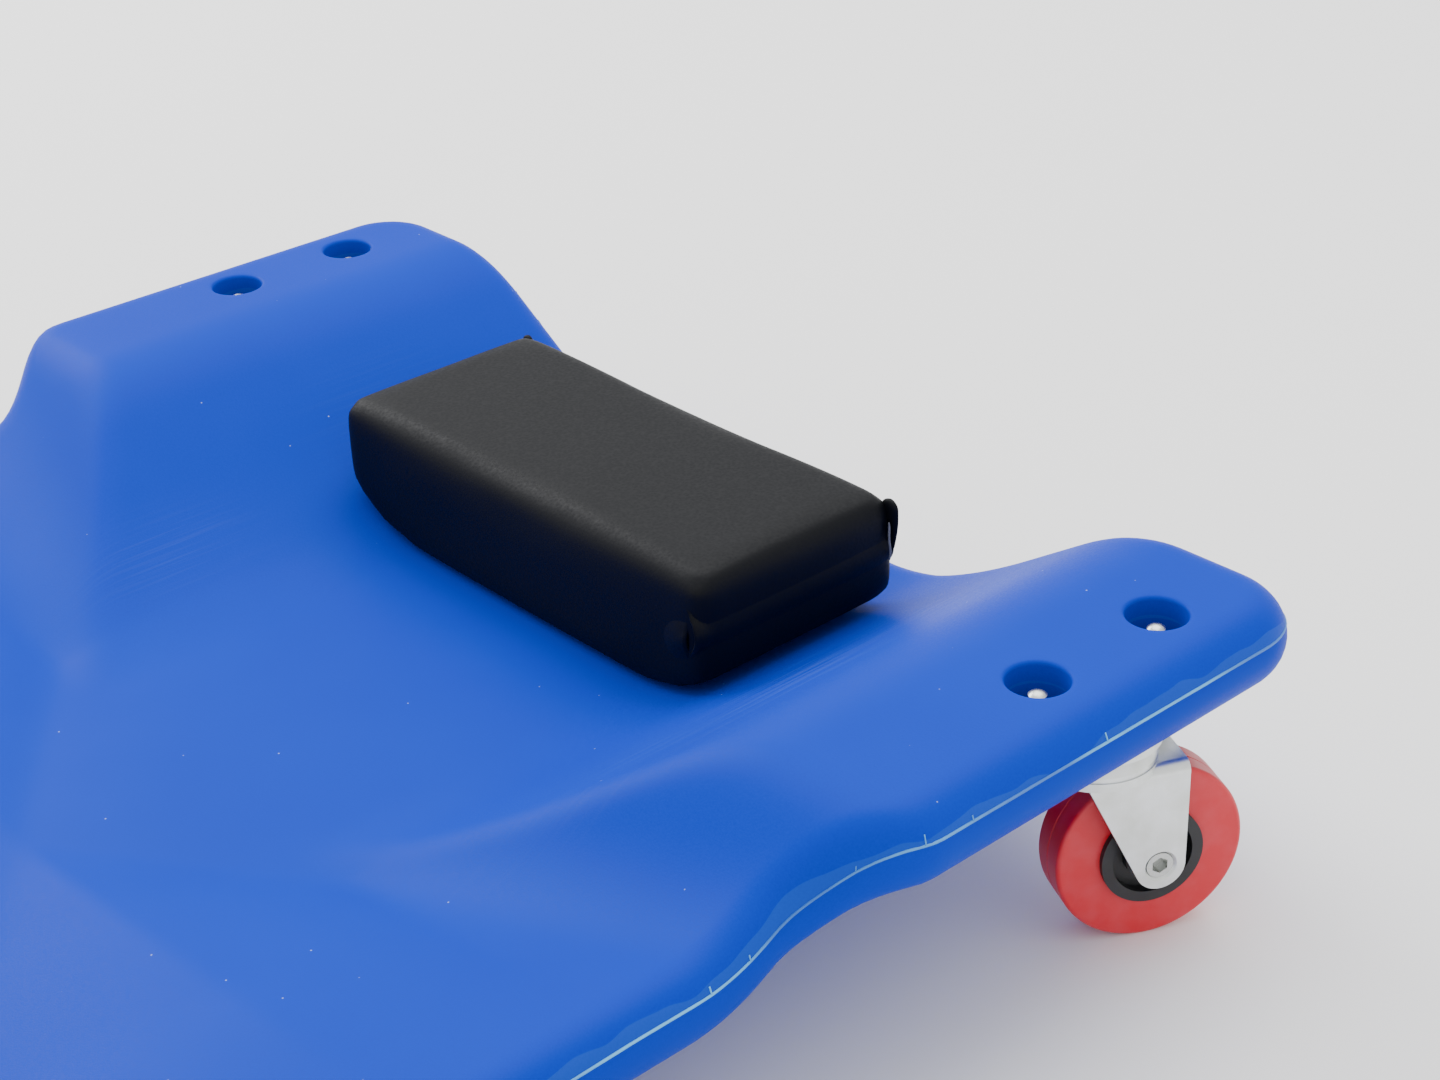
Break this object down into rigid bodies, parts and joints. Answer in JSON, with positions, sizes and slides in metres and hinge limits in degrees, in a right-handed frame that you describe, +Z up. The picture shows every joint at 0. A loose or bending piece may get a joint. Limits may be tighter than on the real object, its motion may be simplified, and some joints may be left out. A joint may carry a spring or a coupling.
{
  "type": "mechanics creeper",
  "caption": "Low mechanics creeper: a moulded plastic lying board with raised wings, swivel casters under the wings and a padded headrest.",
  "frame": {"origin": "floor level under the middle of the board's outline", "axes": "+Y to the head end, +X to the right-hand side of a person lying on the board, +Z up"},
  "size_m": [0.5, 1.016, 0.107],
  "materials": {
    "body_plastic": "moulded, fine matte texture",
    "vinyl": "grained vinyl",
    "foam": "open foam",
    "plywood": "raw plywood",
    "fastener_zinc": "bright zinc plated",
    "ball_steel": "polished",
    "caster_zinc": "stamped, bright zinc plated",
    "axle_steel": "turned",
    "hub_nylon": "moulded",
    "tread_urethane": "cast, satin"
  },
  "bodies": {
    "root": {"body": "body_plastic", "headrest_board": "plywood", "headrest_foam": "foam", "headrest_cover": "vinyl", "headrest_screws": "fastener_zinc", "caster_bolts": "fastener_zinc", "caster_washers": "fastener_zinc", "caster_nuts": "fastener_zinc", "kingpins": "fastener_zinc", "swivel_balls": "ball_steel", "caster_plate_head_left": "caster_zinc", "caster_plate_head_right": "caster_zinc", "caster_plate_mid_left": "caster_zinc", "caster_plate_mid_right": "caster_zinc", "caster_plate_foot_left": "caster_zinc", "caster_plate_foot_right": "caster_zinc"},
    "swivel_head_left": {"fork_head_left": "caster_zinc", "swivel_cover_head_left": "caster_zinc", "axle_head_left": "axle_steel", "axle_nut_head_left": "fastener_zinc"},
    "wheel_head_left": {"wheel_hub_head_left": "hub_nylon", "wheel_tread_head_left": "tread_urethane", "wheel_bush_head_left": "axle_steel"},
    "swivel_head_right": {"fork_head_right": "caster_zinc", "swivel_cover_head_right": "caster_zinc", "axle_head_right": "axle_steel", "axle_nut_head_right": "fastener_zinc"},
    "wheel_head_right": {"wheel_hub_head_right": "hub_nylon", "wheel_tread_head_right": "tread_urethane", "wheel_bush_head_right": "axle_steel"},
    "swivel_mid_left": {"fork_mid_left": "caster_zinc", "swivel_cover_mid_left": "caster_zinc", "axle_mid_left": "axle_steel", "axle_nut_mid_left": "fastener_zinc"},
    "wheel_mid_left": {"wheel_hub_mid_left": "hub_nylon", "wheel_tread_mid_left": "tread_urethane", "wheel_bush_mid_left": "axle_steel"},
    "swivel_mid_right": {"fork_mid_right": "caster_zinc", "swivel_cover_mid_right": "caster_zinc", "axle_mid_right": "axle_steel", "axle_nut_mid_right": "fastener_zinc"},
    "wheel_mid_right": {"wheel_hub_mid_right": "hub_nylon", "wheel_tread_mid_right": "tread_urethane", "wheel_bush_mid_right": "axle_steel"},
    "swivel_foot_left": {"fork_foot_left": "caster_zinc", "swivel_cover_foot_left": "caster_zinc", "axle_foot_left": "axle_steel", "axle_nut_foot_left": "fastener_zinc"},
    "wheel_foot_left": {"wheel_hub_foot_left": "hub_nylon", "wheel_tread_foot_left": "tread_urethane", "wheel_bush_foot_left": "axle_steel"},
    "swivel_foot_right": {"fork_foot_right": "caster_zinc", "swivel_cover_foot_right": "caster_zinc", "axle_foot_right": "axle_steel", "axle_nut_foot_right": "fastener_zinc"},
    "wheel_foot_right": {"wheel_hub_foot_right": "hub_nylon", "wheel_tread_foot_right": "tread_urethane", "wheel_bush_foot_right": "axle_steel"}
  },
  "joints": [
    {"name": "swivel_head_left", "type": "hinge", "parent": "root", "child": "swivel_head_left", "pos_m": [-0.221, 0.433, 0.079], "axis": [0, 0, 1], "continuous": true},
    {"name": "roll_head_left", "type": "hinge", "parent": "swivel_head_left", "child": "wheel_head_left", "pos_m": [-0.21355, 0.44828, 0.03175], "axis": [0.8988, -0.4384, 0], "continuous": true},
    {"name": "swivel_head_right", "type": "hinge", "parent": "root", "child": "swivel_head_right", "pos_m": [0.221, 0.433, 0.079], "axis": [0, 0, 1], "continuous": true},
    {"name": "roll_head_right", "type": "hinge", "parent": "swivel_head_right", "child": "wheel_head_right", "pos_m": [0.22845, 0.44828, 0.03175], "axis": [0.8988, -0.4384, 0], "continuous": true},
    {"name": "swivel_mid_left", "type": "hinge", "parent": "root", "child": "swivel_mid_left", "pos_m": [-0.221, -0.079, 0.079], "axis": [0, 0, 1], "continuous": true},
    {"name": "roll_mid_left", "type": "hinge", "parent": "swivel_mid_left", "child": "wheel_mid_left", "pos_m": [-0.21355, -0.06372, 0.03175], "axis": [0.8988, -0.4384, 0], "continuous": true},
    {"name": "swivel_mid_right", "type": "hinge", "parent": "root", "child": "swivel_mid_right", "pos_m": [0.221, -0.079, 0.079], "axis": [0, 0, 1], "continuous": true},
    {"name": "roll_mid_right", "type": "hinge", "parent": "swivel_mid_right", "child": "wheel_mid_right", "pos_m": [0.22845, -0.06372, 0.03175], "axis": [0.8988, -0.4384, 0], "continuous": true},
    {"name": "swivel_foot_left", "type": "hinge", "parent": "root", "child": "swivel_foot_left", "pos_m": [-0.221, -0.433, 0.079], "axis": [0, 0, 1], "continuous": true},
    {"name": "roll_foot_left", "type": "hinge", "parent": "swivel_foot_left", "child": "wheel_foot_left", "pos_m": [-0.21355, -0.41772, 0.03175], "axis": [0.8988, -0.4384, 0], "continuous": true},
    {"name": "swivel_foot_right", "type": "hinge", "parent": "root", "child": "swivel_foot_right", "pos_m": [0.221, -0.433, 0.079], "axis": [0, 0, 1], "continuous": true},
    {"name": "roll_foot_right", "type": "hinge", "parent": "swivel_foot_right", "child": "wheel_foot_right", "pos_m": [0.22845, -0.41772, 0.03175], "axis": [0.8988, -0.4384, 0], "continuous": true}
  ]
}
